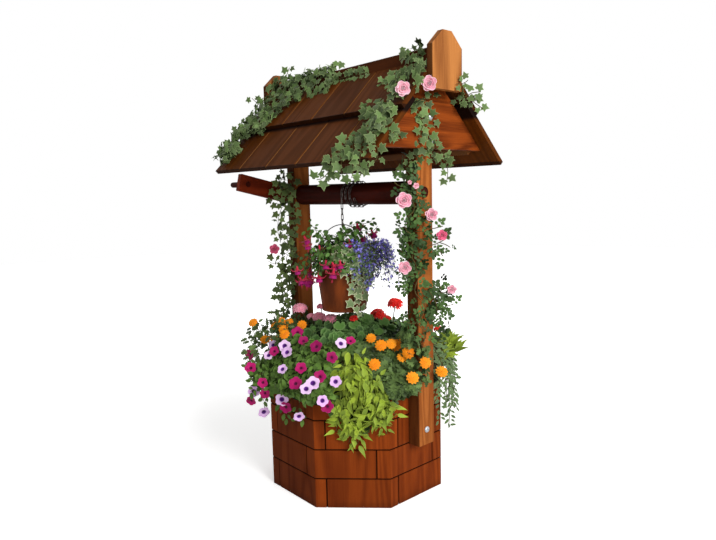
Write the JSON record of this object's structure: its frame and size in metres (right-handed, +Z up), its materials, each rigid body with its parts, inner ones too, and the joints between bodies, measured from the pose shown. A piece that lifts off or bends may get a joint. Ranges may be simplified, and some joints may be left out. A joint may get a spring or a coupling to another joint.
{
  "type": "wishing well planter",
  "caption": "Wooden wishing well planter with an octagonal planted base, boarded gable roof, crank windlass and a planted bucket on a chain.",
  "frame": {"origin": "middle of the octagonal base's underside, on the ground", "axes": "+Z up, X along the ridge and the windlass with the crank at -X, -Y the side on which the chain hangs"},
  "size_m": [0.8856, 0.7006, 1.4124],
  "materials": {
    "panel_wood": "stained, semi-matt",
    "hidden_wood": "sawn",
    "liner": "matt film",
    "soil": "loose, matt",
    "post_wood": "stained, semi-matt",
    "zinc": "zinc plated",
    "roller_wood": "stained dark, semi-matt",
    "chain_steel": "dull steel",
    "aged_copper": "aged copper brown, satin",
    "gable_wood": "stained, semi-matt",
    "roof_wood": "stained dark, semi-matt",
    "petunia": "petals and leaves",
    "marigold": "petals and leaves",
    "geranium": "petals and leaves",
    "lime_leaf": "leaves",
    "trailing_leaf": "leaves",
    "bucket_leaf": "leaves and flowers",
    "ivy_leaf": "leaves",
    "rose": "leaves and pink blooms"
  },
  "bodies": {
    "structure": {"base_panel_1": "panel_wood", "base_panel_2": "panel_wood", "base_panel_3": "panel_wood", "base_panel_4": "panel_wood", "base_panel_5": "panel_wood", "base_panel_6": "panel_wood", "base_panel_7": "panel_wood", "base_panel_8": "panel_wood", "base_floor": "hidden_wood", "front_eave_batten": "hidden_wood", "front_ridge_batten": "hidden_wood", "back_eave_batten": "hidden_wood", "back_ridge_batten": "hidden_wood", "planter_liner": "liner", "potting_soil": "soil", "left_post": "post_wood", "right_post": "post_wood", "left_finial": "post_wood", "right_finial": "post_wood", "base_bolt_left": "zinc", "base_bolt_right": "zinc", "gable_bolt_left_1": "zinc", "gable_bolt_left_2": "zinc", "gable_bolt_right_1": "zinc", "gable_bolt_right_2": "zinc", "left_gable": "gable_wood", "right_gable": "gable_wood", "front_lower_boards": "roof_wood", "front_upper_boards": "roof_wood", "back_lower_boards": "roof_wood", "back_upper_boards": "roof_wood", "ridge_beam": "roof_wood", "petunias_front": "petunia", "petunias_back": "petunia", "marigolds_left": "marigold", "marigolds_right": "marigold", "geraniums": "geranium", "lime_foliage": "lime_leaf", "trailing_vine": "trailing_leaf", "roof_ivy_left": "ivy_leaf", "roof_ivy_right": "ivy_leaf", "post_ivy": "ivy_leaf", "climbing_rose": "rose"},
    "windlass": {"windlass_roller": "roller_wood", "crank_arm": "roller_wood", "crank_handle": "roller_wood", "crank_screw": "zinc", "wound_chain": "chain_steel"},
    "chain": {"chain_link_1": "chain_steel", "chain_link_2": "chain_steel", "chain_link_3": "chain_steel", "chain_link_4": "chain_steel", "chain_link_5": "chain_steel"},
    "bail": {"bucket_bail": "chain_steel"},
    "bucket": {"bucket_ear_1": "chain_steel", "bucket_ear_2": "chain_steel", "bucket_shell": "aged_copper", "bucket_soil": "soil", "bucket_plants_front": "bucket_leaf", "bucket_plants_back": "bucket_leaf"}
  },
  "joints": [
    {"name": "windlass_turn", "type": "hinge", "parent": "structure", "child": "windlass", "pos_m": [0, 0, 0.967], "axis": [-1, 0, 0], "range_deg": [-10, 60]},
    {"name": "chain_lift", "type": "slide", "parent": "structure", "child": "chain", "axis": [0, 0, 1], "range_m": [-0.0072, 0.0424]},
    {"name": "bail_swing", "type": "hinge", "parent": "chain", "child": "bail", "pos_m": [-0.008, -0.0403, 0.8622], "axis": [-0.342, 0.9397, 0], "range_deg": [-10, 10]},
    {"name": "bucket_tip", "type": "hinge", "parent": "bail", "child": "bucket", "pos_m": [-0.008, -0.0403, 0.734], "axis": [0.9397, 0.342, 0], "range_deg": [-8, 8]}
  ],
  "couplings": [
    {"joint": "chain_lift", "follows": "windlass_turn", "m_per_rad": 0.0403}
  ]
}
